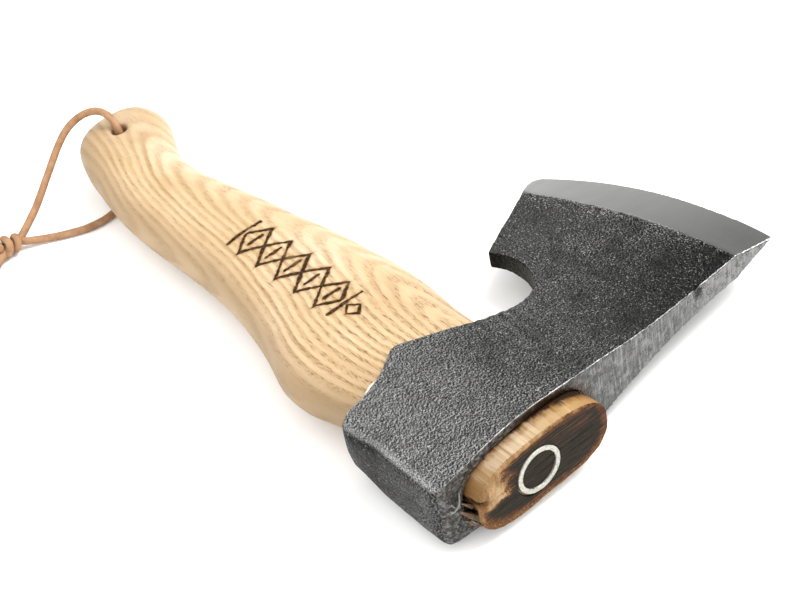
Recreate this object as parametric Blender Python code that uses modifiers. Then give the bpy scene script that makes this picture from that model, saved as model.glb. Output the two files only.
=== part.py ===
"""Carving hatchet lying on its side.

A forged bearded head, an ash handle, a ring wedge, a kerf wedge and a leather lanyard.
Metres, +Z up. +X runs along the handle from the butt to the tenon's end, and +Y from the poll
to the cutting edge. The floor is Z = 0, and the origin is under the middle of the head and handle.
"""

import math

import bmesh
import bpy
from mathutils import Vector

MM = 0.001
WELD = 0.01 * MM

# Driving dimensions of the whole hatchet
OVERALL_LENGTH = 258 * MM      # butt to the end of the tenon
HEAD_LENGTH = 154.5 * MM       # poll face to the crown of the cutting edge
EYE_THICKNESS = 34 * MM        # cheek to cheek over the eye, the thickest place
POLL_TO_AXIS = 33.3 * MM       # poll face to the axis of the ring wedge
FIT_GAP = 0.3 * MM             # air between neighbouring pieces

MID_Z = EYE_THICKNESS / 2
TENON_END_X = OVERALL_LENGTH / 2
AXIS_Y = POLL_TO_AXIS - HEAD_LENGTH / 2

# Head
EDGE_RADIUS = 120.8 * MM
EDGE_CENTRE = (TENON_END_X - 25.7 * MM, HEAD_LENGTH / 2 - EDGE_RADIUS)
EDGE_TOE_ANGLE = math.radians(86.2)
EDGE_HEEL_ANGLE = math.radians(128.4)
BEVEL_SLOPE = 0.31             # rise of one ground bevel over its width
POLL_HALF_THICKNESS = 13.2 * MM
POLL_CORNER = 5 * MM
TOP_SECTION_X = TENON_END_X - 8 * MM
BEARD_SECTION_X = TENON_END_X - 95 * MM
EDGE_HALF_LAND = 0.05 * MM
BLANK_MARGIN = 30 * MM
CLEARANCE_SHIFT = 1.4 * FIT_GAP  # leaves the gap on the slanting parts of the lower edge too

# Tenon, its wedges, and the eye that holds them
TENON_CENTRE_Y = AXIS_Y + 2 * MM
TENON_HALF_WIDTH = 25.5 * MM
TENON_HALF_THICKNESS = 12.8 * MM
TENON_ROUNDNESS = 2.6
TENON_ROOT_X = TENON_END_X - 78 * MM
TENON_CHAMFER = 0.8 * MM
RING_OUTER_RADIUS = 8.4 * MM
RING_WALL = 1.7 * MM
RING_LENGTH = 14 * MM
RING_PROUD = 0.3 * MM
KERF_DEPTH = 38 * MM
KERF_TOP_HALF = 1.5 * MM
KERF_ROOT_HALF = 0.5 * MM
WEDGE_INSET = 0.4 * MM

# Lanyard
LACE_DIAMETER = 2.6 * MM
HOLE_X = TENON_END_X - 238 * MM
HOLE_Y = AXIS_Y + 3.2 * MM
HOLE_RADIUS = 3 * MM
HOLE_FLARE = 0.8 * MM
KNOT_FROM_HOLE = (-6.4 * MM, -55.6 * MM)
KNOT_HALF_SIZE = (4.6 * MM, 5.6 * MM, 4.2 * MM)
KNOT_TURN = math.radians(8)


# Small helpers ---------------------------------------------------------------

def remove_everything():
    for obj in list(bpy.data.objects):
        bpy.data.objects.remove(obj, do_unlink=True)


def new_collection(name):
    collection = bpy.data.collections.new(name)
    bpy.context.scene.collection.children.link(collection)
    return collection


def new_material(name, colour, roughness, metallic):
    material = bpy.data.materials.new(name)
    material.use_nodes = True
    shader = material.node_tree.nodes["Principled BSDF"]
    shader.inputs["Base Color"].default_value = (*colour, 1)
    shader.inputs["Roughness"].default_value = roughness
    shader.inputs["Metallic"].default_value = metallic
    return material


def new_object(name, data, collection):
    obj = bpy.data.objects.new(name, data)
    collection.objects.link(obj)
    return obj


def object_from_bmesh(name, shape, collection):
    mesh = bpy.data.meshes.new(name)
    bmesh.ops.recalc_face_normals(shape, faces=shape.faces)
    shape.to_mesh(mesh)
    shape.free()
    return new_object(name, mesh, collection)


def as_mesh(curve_object, collection):
    """Turn a curve object into a mesh object with its caps welded, and remove the curve."""
    bpy.context.view_layer.update()
    evaluated = curve_object.evaluated_get(bpy.context.evaluated_depsgraph_get())
    mesh = bpy.data.meshes.new_from_object(evaluated)
    shape = bmesh.new()
    shape.from_mesh(mesh)
    bmesh.ops.remove_doubles(shape, verts=shape.verts, dist=WELD)
    bmesh.ops.recalc_face_normals(shape, faces=shape.faces)
    shape.to_mesh(mesh)
    shape.free()
    name = curve_object.name
    matrix = curve_object.matrix_world.copy()
    bpy.data.objects.remove(curve_object, do_unlink=True)
    obj = new_object(name, mesh, collection)
    obj.matrix_world = matrix
    return obj


def boolean(obj, cutter, operation):
    modifier = obj.modifiers.new(operation.title() + " " + cutter.name, "BOOLEAN")
    modifier.operation = operation
    modifier.solver = "EXACT"
    modifier.object = cutter
    cutter.hide_render = True
    cutter.display_type = "WIRE"


def shade_smooth(obj, angle=30):
    """Smooth shading, with the edges sharper than the angle kept crisp."""
    obj.data.shade_smooth()
    obj.data.set_sharp_from_angle(angle=math.radians(angle))


def smooth_row(knots, steps):
    """Points on a Catmull-Rom curve through the knots, with this many steps between neighbours."""
    rows = [Vector(knot) for knot in knots]
    rows = [2 * rows[0] - rows[1]] + rows + [2 * rows[-1] - rows[-2]]
    points = []
    for before, start, end, after in zip(rows, rows[1:], rows[2:], rows[3:]):
        for step in range(steps):
            t = step / steps
            point = start * 2 + (end - before) * t
            point += (before * 2 - start * 5 + end * 4 - after) * t ** 2
            point += (start * 3 - before - end * 3 + after) * t ** 3
            points.append(point / 2)
    points.append(rows[-2])
    return points


def flat_outline(name, points, half_thickness, collection):
    """A closed 2D curve in XY, extruded to both sides of its plane, as a mesh."""
    curve = bpy.data.curves.new(name, "CURVE")
    curve.dimensions = "2D"
    curve.fill_mode = "BOTH"
    curve.extrude = half_thickness
    spline = curve.splines.new("POLY")
    spline.points.add(len(points) - 1)
    for spline_point, (x, y) in zip(spline.points, points):
        spline_point.co = (x, y, 0, 1)
    spline.use_cyclic_u = True
    return as_mesh(new_object(name, curve, collection), collection)


def turned(name, profile, segments, collection):
    """A profile of (radius, height) points turned about Z, its outer side running down.

    A profile that stays off the axis is closed into a ring.
    """
    shape = bmesh.new()
    corners = [shape.verts.new((radius, 0, height)) for radius, height in profile]
    if profile[0][0] > 0:
        corners.append(corners[0])
    for first, second in zip(corners, corners[1:]):
        shape.edges.new((first, second))
    mesh = bpy.data.meshes.new(name)
    shape.to_mesh(mesh)
    shape.free()
    obj = new_object(name, mesh, collection)
    screw = obj.modifiers.new("Turn", "SCREW")
    screw.steps = segments
    screw.render_steps = segments
    screw.use_merge_vertices = True
    screw.merge_threshold = WELD
    return obj


def superellipse(half_width, half_height, roundness, count):
    """Points round a superellipse; a roundness of 2 is an ellipse and more is squarer."""
    points = []
    for index in range(count):
        angle = 2 * math.pi * index / count
        across = math.copysign(abs(math.cos(angle)) ** (2 / roundness), math.cos(angle))
        up = math.copysign(abs(math.sin(angle)) ** (2 / roundness), math.sin(angle))
        points.append((half_width * across, half_height * up))
    return points


def bridge_rings(name, rings, collection):
    """A closed body through rings of points that all have the same count."""
    shape = bmesh.new()
    rows = [[shape.verts.new(point) for point in ring] for ring in rings]
    for lower, upper in zip(rows, rows[1:]):
        for index in range(len(lower)):
            after = (index + 1) % len(lower)
            shape.faces.new((lower[index], lower[after], upper[after], upper[index]))
    shape.faces.new(reversed(rows[0]))
    shape.faces.new(rows[-1])
    return object_from_bmesh(name, shape, collection)


# Head ------------------------------------------------------------------------

def head_point(from_tenon_end, from_axis):
    """A plan point given in millimetres back from the tenon's end and out from the ring wedge's axis."""
    return (TENON_END_X - from_tenon_end * MM, AXIS_Y + from_axis * MM)


def edge_arc(steps):
    points = []
    for step in range(steps + 1):
        angle = EDGE_TOE_ANGLE + (EDGE_HEEL_ANGLE - EDGE_TOE_ANGLE) * step / steps
        x = EDGE_CENTRE[0] + EDGE_RADIUS * math.cos(angle)
        y = EDGE_CENTRE[1] + EDGE_RADIUS * math.sin(angle)
        points.append((x, y))
    return points


def head_outline():
    """The plan outline of the head: top line, cutting edge, heel, beard, underside, lug, and poll."""
    top_line = [head_point(5.5, -30.3), head_point(6.8, -12), head_point(8, 15), head_point(11, 45),
                head_point(14.3, 78), head_point(17.6, 119)]
    heel = [head_point(101.9, 92.2), head_point(100.8, 89), head_point(95.6, 81.8), head_point(90.4, 71.5),
            head_point(86.4, 62.5), head_point(82.4, 53.9)]
    beard = [head_point(81.8, 53.5), head_point(76, 56.2), head_point(69, 56.9), head_point(62, 55),
             head_point(55.6, 50), head_point(51.4, 41.5), head_point(50, 31), head_point(51.2, 19),
             head_point(54.8, 6.5), head_point(58.9, -2.5)]
    lug = [head_point(59.4, -4.6), head_point(58.6, -7), head_point(54.5, -14.5), head_point(52.7, -22),
           head_point(52, -29)]
    poll = [head_point(50.7, -31.8), head_point(47.6, -33.3), head_point(9.5, -33.3),
            head_point(6.3, -32.4)]
    outline = [tuple(point) for point in smooth_row(top_line, 4)]
    outline += edge_arc(28)
    outline += [tuple(point) for point in smooth_row(heel, 3)]
    outline += [tuple(point) for point in smooth_row(beard, 4)]
    outline += [tuple(point) for point in smooth_row(lug, 3)]
    outline += poll
    return outline


def thickness_section(x, half_thicknesses):
    """A ring round the head's thickness at one X, from (distance from the axis, half thickness)."""
    face_y = AXIS_Y - POLL_TO_AXIS
    upper = [(face_y, POLL_HALF_THICKNESS - POLL_CORNER)]
    for step in (1, 2, 3):
        angle = math.radians(90) * step / 3
        upper.append((face_y + POLL_CORNER * (1 - math.cos(angle)),
                      POLL_HALF_THICKNESS - POLL_CORNER * (1 - math.sin(angle))))
    knots = [(AXIS_Y + distance * MM, half * MM) for distance, half in half_thicknesses]
    upper += [tuple(point) for point in smooth_row(knots, 3)]
    lower = [(y, -half) for y, half in reversed(upper)]
    return [(x, y, MID_Z + height) for y, height in upper + lower]


def head_blank(cutters):
    """The forged thickness: full over the eye, tapering to the blade, and thinner down at the beard."""
    top = [(-20, 14.6), (-10, 16.2), (2, 17), (12, 16.2), (25, 14), (38, 11.7),
           (50, 9.4), (65, 7.2), (81, 5.9), (95, 5.4), (107, 5.1), (126, 4.8)]
    beard = [(-20, 14.6), (-10, 16.2), (2, 17), (12, 16.2), (25, 12), (38, 6.4),
             (50, 3), (57, 2.2), (70, 2.6), (83, 3.8), (97, 6), (126, 7.4)]
    sections = [(BEARD_SECTION_X - BLANK_MARGIN, 1 + BLANK_MARGIN / (TOP_SECTION_X - BEARD_SECTION_X)),
                (TOP_SECTION_X + BLANK_MARGIN, -BLANK_MARGIN / (TOP_SECTION_X - BEARD_SECTION_X))]
    rings = []
    for x, share in sections:
        mixed = [(distance, top_half + (beard_half - top_half) * share)
                 for (distance, top_half), (_, beard_half) in zip(top, beard)]
        rings.append(thickness_section(x, mixed))
    return bridge_rings("head_blank", rings, cutters)


def bevel_cone(cutters):
    """Two cones base to base round the edge arc's centre: their slopes are the ground bevels."""
    rise = EDGE_RADIUS * BEVEL_SLOPE
    profile = [(0, rise), (EDGE_RADIUS, EDGE_HALF_LAND), (EDGE_RADIUS, -EDGE_HALF_LAND), (0, -rise)]
    cone = turned("bevel_cone", profile, 288, cutters)
    cone.location = (*EDGE_CENTRE, MID_Z)
    return cone


def tenon_prism(name, grow, start_x, end_x, collection):
    """The tenon's oval from one X to another, grown by a clearance."""
    outline = superellipse(TENON_HALF_WIDTH + grow, TENON_HALF_THICKNESS + grow, TENON_ROUNDNESS, 64)
    prism = flat_outline(name, outline, (end_x - start_x) / 2, collection)
    prism.rotation_euler = (math.radians(90), 0, math.radians(90))
    prism.location = ((start_x + end_x) / 2, TENON_CENTRE_Y, MID_Z)
    return prism


def make_head(parts, cutters):
    head = flat_outline("axe_head", head_outline(), EYE_THICKNESS, parts)
    head.location.z = MID_Z
    boolean(head, head_blank(cutters), "INTERSECT")
    boolean(head, bevel_cone(cutters), "INTERSECT")
    eye = tenon_prism("eye_hole", FIT_GAP, TENON_ROOT_X, TENON_END_X + BLANK_MARGIN, cutters)
    boolean(head, eye, "DIFFERENCE")
    shade_smooth(head)
    head.data.materials.append(new_material("forged_steel", (0.09, 0.092, 0.095), 0.45, 1))
    return head


# Handle ----------------------------------------------------------------------

def grip_section(from_tenon_end, offset, half_width, half_thickness):
    """One ring of the grip, with sizes in millimetres."""
    x = TENON_END_X - from_tenon_end * MM
    ring = superellipse(half_width * MM, half_thickness * MM, 2.3, 40)
    return [(x, AXIS_Y + offset * MM + across, MID_Z + up) for across, up in ring]


def grip_loft(collection):
    """The ash grip from the flared butt to the shoulder inside the head's lug."""
    butt = [(257, 7.4, 11.6, 6.4), (255, 7, 14.4, 8.9), (251.5, 6.5, 16.8, 11.2),
            (246.5, 6, 18.4, 12.6), (239, 5, 19.5, 13.2), (230, 2.4, 18.6, 13.1)]
    grip = [(220, -0.8, 17.3, 12.7), (208, -2.9, 16.9, 12.4), (195, -3, 17.7, 12.4),
            (180, -1.7, 19, 12.6), (165, 0, 20.2, 12.9), (148, 1.3, 21.4, 13.3), (130, 2.2, 23.8, 13.8)]
    swell = [(113, 1.7, 26.4, 14.2), (100, 0.6, 28.8, 14.4), (88, -1.1, 30.9, 14.4),
             (76, -1.7, 30.6, 14.3), (64, -0.7, 28.4, 13.9), (50, 0.5, 27, 13.4), (44, 1, 26.4, 13.2)]
    stations = butt + grip + swell
    smooth = smooth_row([Vector(station[:3]) for station in stations], 3)
    thickness = smooth_row([Vector((station[0], station[3])) for station in stations], 3)
    butt_x, butt_offset, butt_half_width, butt_half_thickness = stations[0]
    rings = [grip_section(butt_x + 1, butt_offset, butt_half_width - 3, butt_half_thickness - 3)]
    for (distance, offset, half_width), (_, half_thickness) in zip(smooth, thickness):
        rings.append(grip_section(distance, offset, half_width, half_thickness))
    return bridge_rings("handle", rings, collection)


def head_clearance(cutters):
    """The head's plan outline moved back by the gap, which trims the grip along the head's lower edge."""
    clearance = flat_outline("head_clearance", head_outline(), EYE_THICKNESS, cutters)
    clearance.location = (-CLEARANCE_SHIFT, 0, MID_Z)
    return clearance


def tenon_body(cutters):
    tenon = tenon_prism("tenon", 0, TENON_ROOT_X, TENON_END_X, cutters)
    bevel = tenon.modifiers.new("Chamfer", "BEVEL")
    bevel.width = TENON_CHAMFER
    bevel.segments = 2
    bevel.limit_method = "ANGLE"
    bevel.angle_limit = math.radians(60)
    return tenon


def wedge_shape(name, grow, collection):
    """The kerf's taper: a thin trapezoid in XZ, carried across the tenon's width."""
    root_x = TENON_END_X - KERF_DEPTH - grow
    end_x = TENON_END_X + (grow and BLANK_MARGIN)
    slope = (KERF_TOP_HALF - KERF_ROOT_HALF) / KERF_DEPTH
    root_half = KERF_ROOT_HALF + grow
    end_half = root_half + (end_x - root_x) * slope
    outline = [(root_x, -root_half), (end_x, -end_half), (end_x, end_half), (root_x, root_half)]
    wedge = flat_outline(name, outline, TENON_HALF_WIDTH + (grow and BLANK_MARGIN), collection)
    wedge.rotation_euler = (math.radians(90), 0, 0)
    wedge.location = (0, TENON_CENTRE_Y, MID_Z)
    return wedge


def ring_groove(name, cutters):
    """The annular groove that the ring wedge sits in, open at the tenon's end."""
    inner = RING_OUTER_RADIUS - RING_WALL - FIT_GAP
    outer = RING_OUTER_RADIUS + FIT_GAP
    top = BLANK_MARGIN
    bottom = -RING_LENGTH - FIT_GAP
    groove = turned(name, [(inner, top), (outer, top), (outer, bottom), (inner, bottom)], 64, cutters)
    groove.rotation_euler = (0, math.radians(90), 0)
    groove.location = (TENON_END_X, AXIS_Y, MID_Z)
    return groove


def lanyard_hole(cutters):
    """A drilled hole with flared mouths."""
    depth = EYE_THICKNESS
    mouth = 13.5 * MM
    flared = HOLE_RADIUS + HOLE_FLARE
    throat = mouth - 2 * HOLE_FLARE
    profile = [(0, depth), (flared, depth), (flared, mouth), (HOLE_RADIUS, throat), (HOLE_RADIUS, -throat),
               (flared, -mouth), (flared, -depth), (0, -depth)]
    hole = turned("lanyard_hole", profile, 32, cutters)
    hole.location = (HOLE_X, HOLE_Y, MID_Z)
    return hole


def make_handle(parts, cutters):
    handle = grip_loft(parts)
    boolean(handle, head_clearance(cutters), "DIFFERENCE")
    boolean(handle, tenon_body(cutters), "UNION")
    boolean(handle, wedge_shape("kerf", FIT_GAP, cutters), "DIFFERENCE")
    boolean(handle, ring_groove("ring_groove", cutters), "DIFFERENCE")
    boolean(handle, lanyard_hole(cutters), "DIFFERENCE")
    shade_smooth(handle)
    handle.data.materials.append(new_material("oiled_ash", (0.72, 0.51, 0.28), 0.5, 0))
    return handle


# Wedges ----------------------------------------------------------------------

def make_ring_wedge(parts):
    """A short tube with a sharpened leading rim; its axis is the handle's."""
    outer = RING_OUTER_RADIUS
    inner = RING_OUTER_RADIUS - RING_WALL
    lead = 3 * MM
    edge = 0.4 * MM
    profile = [(inner, RING_PROUD - edge / 2), (inner + edge / 2, RING_PROUD),
               (outer - edge / 2, RING_PROUD), (outer, RING_PROUD - edge / 2),
               (outer, lead - RING_LENGTH), (inner + edge, -RING_LENGTH), (inner, -RING_LENGTH)]
    ring = turned("ring_wedge", profile, 64, parts)
    ring.rotation_euler = (0, math.radians(90), 0)
    ring.location = (TENON_END_X, AXIS_Y, MID_Z)
    shade_smooth(ring)
    ring.data.materials.append(new_material("ring_steel", (0.55, 0.55, 0.53), 0.35, 1))
    return ring


def make_kerf_wedge(parts, cutters):
    """The wooden wedge, trimmed to the tenon's oval and notched where the ring wedge crosses it."""
    wedge = wedge_shape("kerf_wedge", 0, parts)
    trim = tenon_prism("wedge_trim", -WEDGE_INSET, TENON_ROOT_X, TENON_END_X + BLANK_MARGIN, cutters)
    boolean(wedge, trim, "INTERSECT")
    boolean(wedge, ring_groove("wedge_ring_notch", cutters), "DIFFERENCE")
    wedge.data.materials.append(new_material("wedge_wood", (0.32, 0.2, 0.1), 0.6, 0))
    return wedge


# Lanyard ---------------------------------------------------------------------

def from_hole(points):
    """Points in millimetres from the hole's axis, with heights above the floor."""
    return [Vector((HOLE_X + x * MM, HOLE_Y + y * MM, z * MM)) for x, y, z in points]


def lace_route():
    """The lace from the knot over the butt, down through the hole, and back along the floor."""
    over_the_butt = [(-7.1, -49.2, 4.4), (-10.5, -38.8, 9.9), (-14.1, -27.8, 18.6), (-16.5, -18.8, 26.2),
                     (-16.7, -12.8, 30.6), (-15.1, -7, 33.4), (-10.9, -2.6, 35), (-5.1, -0.4, 34.4),
                     (-1.1, 0, 30.6)]
    in_the_hole = [(0, 0, 25), (0, 0, 17), (0, 0, 9), (0.3, -1, 4.4)]
    along_the_floor = [(1.9, -5.2, 1.75), (4.9, -11.2, 1.4), (7.1, -18.8, 1.4), (6.5, -26.6, 1.4),
                       (3.1, -34.4, 1.4), (-1.1, -41.6, 1.8), (-4.1, -47.6, 2.8)]
    return smooth_row(from_hole(over_the_butt + in_the_hole + along_the_floor), 3)


def tube(name, points, diameter, collection):
    """A round cord along points already read from a smooth curve, as a mesh with welded caps."""
    curve = bpy.data.curves.new(name, "CURVE")
    curve.dimensions = "3D"
    curve.bevel_depth = diameter / 2
    curve.bevel_resolution = 2
    curve.use_fill_caps = True
    spline = curve.splines.new("POLY")
    spline.points.add(len(points) - 1)
    for spline_point, point in zip(spline.points, points):
        spline_point.co = (*point, 1)
    return as_mesh(new_object(name, curve, collection), collection)


def hang_on(child, pivot):
    """Parent a piece to the pivot and keep it where it is."""
    bpy.context.view_layer.update()
    child.parent = pivot
    child.matrix_parent_inverse = pivot.matrix_world.inverted()


def make_lanyard(parts):
    leather = new_material("tan_leather", (0.42, 0.23, 0.13), 0.7, 0)
    pivot = new_object("lanyard_pivot", None, parts)
    pivot.location = (HOLE_X, HOLE_Y, MID_Z)

    cord = tube("lanyard_cord", lace_route(), LACE_DIAMETER, parts)

    bpy.ops.mesh.primitive_uv_sphere_add(segments=24, ring_count=16, radius=1)
    knot = bpy.context.object
    knot.name = "lanyard_knot"
    knot.location = (HOLE_X + KNOT_FROM_HOLE[0], HOLE_Y + KNOT_FROM_HOLE[1], KNOT_HALF_SIZE[2] + FIT_GAP)
    knot.rotation_euler.z = KNOT_TURN
    knot.scale = KNOT_HALF_SIZE
    for collection in knot.users_collection:
        collection.objects.unlink(knot)
    parts.objects.link(knot)

    tail_a_route = from_hole([(-3.7, -61.8, 2.2), (-0.9, -65, 1.5), (2.3, -66.8, 1.4)])
    tail_b_route = from_hole([(-7.1, -62.6, 2.4), (-6.7, -66.6, 1.5), (-4.3, -70, 1.4)])
    tail_a = tube("lanyard_tail_a", smooth_row(tail_a_route, 3), LACE_DIAMETER, parts)
    tail_b = tube("lanyard_tail_b", smooth_row(tail_b_route, 3), LACE_DIAMETER, parts)

    for piece in (cord, knot, tail_a, tail_b):
        shade_smooth(piece, 60)
        piece.data.materials.append(leather)
        hang_on(piece, pivot)


def main():
    remove_everything()
    parts = new_collection("carving_hatchet")
    cutters = new_collection("cutters")
    make_head(parts, cutters)
    make_handle(parts, cutters)
    make_ring_wedge(parts)
    make_kerf_wedge(parts, cutters)
    make_lanyard(parts)


main()
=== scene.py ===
"""Carving hatchet lying on its side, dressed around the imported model.

Metres, +Z up, in the frame of the CAD part: +X runs to the tenon's end, +Y to the cutting edge.
"""
import math

import bmesh
import bpy
import numpy as np
from mathutils import Matrix, Vector, noise
from mathutils.bvhtree import BVHTree


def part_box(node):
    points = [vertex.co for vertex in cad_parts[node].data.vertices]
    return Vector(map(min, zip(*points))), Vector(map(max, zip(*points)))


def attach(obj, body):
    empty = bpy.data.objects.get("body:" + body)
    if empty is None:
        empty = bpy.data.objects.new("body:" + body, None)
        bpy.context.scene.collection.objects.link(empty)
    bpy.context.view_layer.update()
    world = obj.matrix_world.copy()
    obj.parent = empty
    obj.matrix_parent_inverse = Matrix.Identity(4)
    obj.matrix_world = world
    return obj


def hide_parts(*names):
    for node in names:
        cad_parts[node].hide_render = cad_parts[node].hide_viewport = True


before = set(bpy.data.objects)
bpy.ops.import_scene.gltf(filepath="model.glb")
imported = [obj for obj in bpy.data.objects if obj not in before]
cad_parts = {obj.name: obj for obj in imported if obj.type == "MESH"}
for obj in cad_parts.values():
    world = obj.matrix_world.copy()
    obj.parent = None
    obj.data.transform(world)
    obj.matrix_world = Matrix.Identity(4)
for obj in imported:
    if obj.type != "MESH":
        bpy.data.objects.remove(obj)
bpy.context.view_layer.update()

MM = 0.001

# Places that the pieces share, read from the CAD
TENON_END_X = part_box("handle")[1].x
EDGE_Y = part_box("axe_head")[1].y
MID_Z = (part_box("axe_head")[0].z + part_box("axe_head")[1].z) / 2
AXIS_Y = (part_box("ring_wedge")[0].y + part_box("ring_wedge")[1].y) / 2
HOLE = Vector((TENON_END_X - 238 * MM, AXIS_Y + 3.2 * MM, MID_Z))
LACE_RADIUS = 1.5 * MM


# Camera, lights and floor -----------------------------------------------------------------

# The photograph's camera, solved from the outline of the hatchet
LENS = 75.05
CAMERA_PLACE = (0.3980, -0.24245, 0.3872)
CAMERA_RIGHT = (0.6288, 0.7608, -0.1606)
CAMERA_UP = (-0.4399, 0.5184, 0.7333)
DARK_CARD = (-0.63, 0.36, 0.69)   # direction of a flag that darkens what the cheeks reflect
SKY_STRENGTH = 2.1
KEY_POWER = 14


def add_camera():
    camera = new_object("camera", bpy.data.cameras.new("camera"))
    camera.data.sensor_width = 36
    camera.data.lens = LENS
    camera.data.clip_start = 0.01
    right = Vector(CAMERA_RIGHT)
    back = right.cross(Vector(CAMERA_UP))
    up = back.cross(right)
    turn = Matrix((right.normalized(), up.normalized(), back.normalized())).transposed()
    camera.matrix_world = Matrix.Translation(CAMERA_PLACE) @ turn.to_4x4()
    bpy.context.scene.camera = camera


def area_light(name, place, target, size, power):
    light = bpy.data.lights.new(name, "AREA")
    light.shape = "RECTANGLE"
    light.size, light.size_y = size
    light.energy = power
    lamp = new_object(name, light)
    lamp.location = place
    lamp.rotation_mode = "QUATERNION"
    lamp.rotation_quaternion = (Vector(target) - Vector(place)).to_track_quat("-Z", "Y")


def add_studio():
    scene = bpy.context.scene
    scene.view_settings.view_transform = "Standard"
    world = bpy.data.worlds.new("studio")
    world.use_nodes = True
    sky = Nodes(world.node_tree)
    direction = sky.vector("NORMALIZE", sky.add("TexCoord", {}, "Generated"))
    towards = sky.vector("DOT_PRODUCT", direction, DARK_CARD)
    height = sky.vector("DOT_PRODUCT", direction, (0, 0, 1))
    dome = height.ramp((0.0, (0.62, 0.62, 0.62)), (0.85, (1, 1, 1)))
    background = sky.tree.nodes["Background"]
    sky.feed(background.inputs["Color"], sky.mix(towards.steps(0.8, 0.96), dome, (0.09, 0.09, 0.093)))
    background.inputs["Strength"].default_value = SKY_STRENGTH
    scene.world = world
    area_light("key_light", (0.25, 0.55, 0.95), (0, 0, 0), (0.6, 0.6), KEY_POWER)
    floor = new_object("floor", bpy.data.meshes.new("floor"))
    shape = bmesh.new()
    bmesh.ops.create_grid(shape, x_segments=8, y_segments=8, size=2.5)
    shape.to_mesh(floor.data)
    shape.free()
    paper = Shader("paper_floor", 0.9)
    grain = paper.noise(60, 3)
    paper.set("Base Color", grain.ramp((0.3, (0.93, 0.93, 0.925)), (0.7, (0.95, 0.95, 0.945))))
    paper.put_on(floor)


# Materials --------------------------------------------------------------------------------

class Value:
    """What a node gives out; arithmetic on it and its own methods add further nodes."""

    def __init__(self, nodes, socket):
        self.nodes = nodes
        self.socket = socket

    def __add__(self, other):
        return self.nodes.math("ADD", self, other)

    def __sub__(self, other):
        return self.nodes.math("SUBTRACT", self, other)

    def __rsub__(self, other):
        return self.nodes.math("SUBTRACT", other, self)

    def __mul__(self, other):
        return self.nodes.math("MULTIPLY", self, other)

    def __truediv__(self, other):
        return self.nodes.math("DIVIDE", self, other)

    def __abs__(self):
        return self.nodes.math("ABSOLUTE", self)

    def line(self, low, high, at_low, at_high, **settings):
        """A straight line between two values, level beyond them."""
        ends = {"Value": self, "From Min": low, "From Max": high, "To Min": at_low, "To Max": at_high}
        return self.nodes.add("MapRange", ends, **settings)

    def steps(self, low, high):
        """0 below low, 1 above high, smooth between; low may be above high."""
        rising = low < high
        return self.line(min(low, high), max(low, high), 0 if rising else 1, 1 if rising else 0,
                         interpolation_type="SMOOTHSTEP")

    def ramp(self, *stops):
        """Colours along the value, each stop a position and a colour."""
        colour = self.nodes.add("ValToRGB", {0: self})
        elements = colour.socket.node.color_ramp.elements
        while len(elements) < len(stops):
            elements.new(0.5)
        for element, (position, shade) in zip(elements, stops):
            element.position = position
            element.color = (*shade, 1)
        return colour


class Nodes:
    """Adds nodes to a tree."""

    def __init__(self, tree):
        self.tree = tree

    def feed(self, socket, value):
        if isinstance(value, Value):
            self.tree.links.new(value.socket, socket)
        else:
            socket.default_value = value

    def add(self, kind, inputs, output=0, **settings):
        """A new node with these inputs and settings; gives back one of its outputs."""
        node = self.tree.nodes.new("ShaderNode" + kind)
        for name, setting in settings.items():
            setattr(node, name, setting)
        for key, value in inputs.items():
            self.feed(node.inputs[key], value)
        return Value(self, node.outputs[output])

    def math(self, operation, *values, clamp=False):
        return self.add("Math", dict(enumerate(values)), operation=operation, use_clamp=clamp)

    def vector(self, operation, *values):
        output = "Value" if operation in ("LENGTH", "DOT_PRODUCT") else 0
        return self.add("VectorMath", dict(enumerate(values)), output, operation=operation)

    def mix(self, share, first, second):
        """A colour between two colours."""
        first, second = ((*colour, 1) if isinstance(colour, tuple) else colour for colour in (first, second))
        return self.add("Mix", {0: share, 6: first, 7: second}, 2, data_type="RGBA")

    def blend(self, share, first, second):
        """A number between two numbers."""
        return self.add("Mix", {0: share, 2: first, 3: second})


class Shader(Nodes):
    """A Principled material put together in steps; lengths in its texture space are millimetres."""

    def __init__(self, name, roughness=0.5, metallic=0.0):
        self.material = bpy.data.materials.new(name)
        self.material.use_nodes = True
        super().__init__(self.material.node_tree)
        self.shader = self.tree.nodes["Principled BSDF"]
        self.set("Roughness", roughness)
        self.set("Metallic", metallic)
        metres = self.add("TexCoord", {}, "Object")
        self.place = self.add("VectorMath", {0: metres, "Scale": 1 / MM}, operation="SCALE")
        split = self.add("SeparateXYZ", {0: self.place}).socket.node
        self.x, self.y, self.z = (Value(self, socket) for socket in split.outputs)

    def set(self, name, value):
        if isinstance(value, tuple):
            value = (*value, 1)
        self.feed(self.shader.inputs[name], value)

    def stretched(self, scale, shift=(0, 0, 0)):
        return self.vector("ADD", self.vector("MULTIPLY", self.place, scale), shift)

    def noise(self, scale, detail=2.0, roughness=0.5, distortion=0.0, at=None):
        """Noise at this scale per millimetre, which may be one number or one for each axis."""
        if isinstance(scale, tuple):
            at = self.stretched(scale)
            scale = 1
        return self.add("TexNoise", {"Vector": at or self.place, "Scale": scale, "Detail": detail,
                                     "Roughness": roughness, "Distortion": distortion})

    def cells(self, scale):
        """Distance to the middle of the nearest cell."""
        return self.add("TexVoronoi", {"Vector": self.place, "Scale": scale}, "Distance")

    def attribute(self, name):
        return self.add("Attribute", {}, "Fac", attribute_name=name)

    def bump(self, height, depth):
        """Height of 0 to 1 stands for this many millimetres."""
        return self.add("Bump", {"Strength": 1, "Distance": depth * MM, "Height": height})

    def put_on(self, obj):
        obj.data.materials.clear()
        obj.data.materials.append(self.material)


# Mesh helpers -----------------------------------------------------------------------------

def new_object(name, data):
    obj = bpy.data.objects.new(name, data)
    bpy.context.scene.collection.objects.link(obj)
    return obj


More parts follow.
